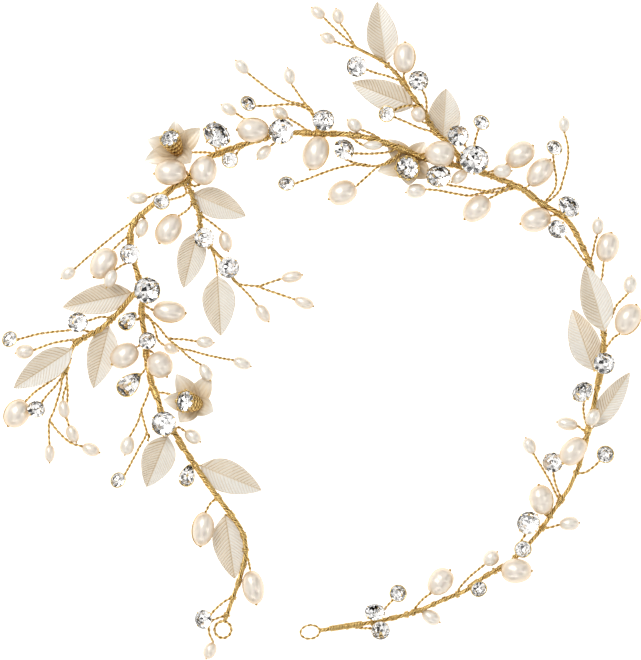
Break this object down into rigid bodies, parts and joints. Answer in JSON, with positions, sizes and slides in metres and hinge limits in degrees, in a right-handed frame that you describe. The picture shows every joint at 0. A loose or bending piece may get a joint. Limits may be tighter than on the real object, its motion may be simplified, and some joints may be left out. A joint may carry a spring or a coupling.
{
  "type": "hair vine tiara",
  "caption": "Bendable gold-wire bridal tiara vine with twisted sprigs of pearls, set stones, veined leaves and metal flowers, and an eyelet at each end",
  "frame": {"origin": "middle of the outline in plan, on the surface that the piece lies on", "axes": "+Z is the decorated face, up from the surface; +Y points to the crown's top spray; +X points to the right side of the open C"},
  "size_m": [0.1921, 0.1978, 0.0116],
  "materials": {
    "gold_wire": "gold-plated twisted wire, bright",
    "gold_setting": "polished gold plate",
    "pearl": "ivory nacre, glossy and slightly uneven",
    "rice_pearl": "ivory nacre, glossy",
    "crystal": "cut clear stone, foil back",
    "leaf_enamel": "satin champagne enamel over stamped metal",
    "petal_enamel": "satin cream and tan enamel"
  },
  "bodies": {
    "crown": {"crown_stem": "gold_wire", "crown_sprig_wires": "gold_wire", "crown_bindings": "gold_wire", "crown_pearls": "pearl", "crown_rice_pearls": "rice_pearl", "crown_settings": "gold_setting", "crown_crystals": "crystal", "crown_flower_petals": "petal_enamel", "crown_flower_cups": "gold_setting"},
    "left_side": {"left_side_stem": "gold_wire", "left_side_sprig_wires": "gold_wire", "left_side_bindings": "gold_wire", "left_side_pearls": "pearl", "left_side_rice_pearls": "rice_pearl", "left_side_settings": "gold_setting", "left_side_crystals": "crystal", "left_side_leaves": "leaf_enamel", "left_side_flower_petals": "petal_enamel", "left_side_flower_cup": "gold_setting"},
    "left_tail": {"left_tail_stem": "gold_wire", "left_tail_eyelet": "gold_wire", "left_tail_sprig_wires": "gold_wire", "left_tail_pearls": "pearl", "left_tail_setting": "gold_setting", "left_tail_crystal": "crystal", "left_tail_leaf": "leaf_enamel"},
    "left_spray": {"left_spray_stem": "gold_wire", "left_spray_sprig_wires": "gold_wire", "left_spray_pearls": "pearl", "left_spray_settings": "gold_setting", "left_spray_crystals": "crystal", "left_spray_leaves": "leaf_enamel"},
    "inner_spray": {"inner_spray_stem": "gold_wire", "inner_spray_sprig_wires": "gold_wire", "inner_spray_pearls": "pearl", "inner_spray_settings": "gold_setting", "inner_spray_crystals": "crystal", "inner_spray_leaves": "leaf_enamel"},
    "top_spray": {"top_spray_stem": "gold_wire", "top_spray_sprig_wires": "gold_wire", "top_spray_pearls": "pearl", "top_spray_settings": "gold_setting", "top_spray_crystals": "crystal", "top_spray_leaves": "leaf_enamel"},
    "right_side": {"right_side_stem": "gold_wire", "right_side_sprig_wires": "gold_wire", "right_side_bindings": "gold_wire", "right_side_pearls": "pearl", "right_side_rice_pearls": "rice_pearl", "right_side_settings": "gold_setting", "right_side_crystals": "crystal", "right_side_leaves": "leaf_enamel"},
    "right_tail": {"right_tail_stem": "gold_wire", "right_tail_eyelet": "gold_wire", "right_tail_sprig_wires": "gold_wire", "right_tail_bindings": "gold_wire", "right_tail_pearls": "pearl", "right_tail_rice_pearls": "rice_pearl", "right_tail_settings": "gold_setting", "right_tail_crystals": "crystal"}
  },
  "joints": [
    {"name": "left_side_bend", "type": "hinge", "parent": "crown", "child": "left_side", "pos_m": [-0.052, 0.0362, 0.003], "axis": [0, 0, 1], "range_deg": [-8, 3]},
    {"name": "left_tail_bend", "type": "hinge", "parent": "left_side", "child": "left_tail", "pos_m": [-0.0341, -0.0459, 0.003], "axis": [0, 0, 1], "range_deg": [-12, 6]},
    {"name": "left_spray_bend", "type": "hinge", "parent": "left_side", "child": "left_spray", "pos_m": [-0.0563, 0.0104, 0.003], "axis": [0, 0, 1], "range_deg": [-10, 0]},
    {"name": "inner_spray_bend", "type": "hinge", "parent": "crown", "child": "inner_spray", "pos_m": [-0.0392, 0.0423, 0.003], "axis": [0, 0, 1], "range_deg": [-4, 15]},
    {"name": "top_spray_bend", "type": "hinge", "parent": "crown", "child": "top_spray", "pos_m": [0.0416, 0.0519, 0.003], "axis": [0, 0, 1], "range_deg": [-12, 1]},
    {"name": "right_side_bend", "type": "hinge", "parent": "crown", "child": "right_side", "pos_m": [0.0834, 0.011, 0.003], "axis": [0, 0, 1], "range_deg": [-1, 8]},
    {"name": "right_tail_bend", "type": "hinge", "parent": "right_side", "child": "right_tail", "pos_m": [0.0747, -0.0476, 0.003], "axis": [0, 0, 1], "range_deg": [0, 14]}
  ]
}
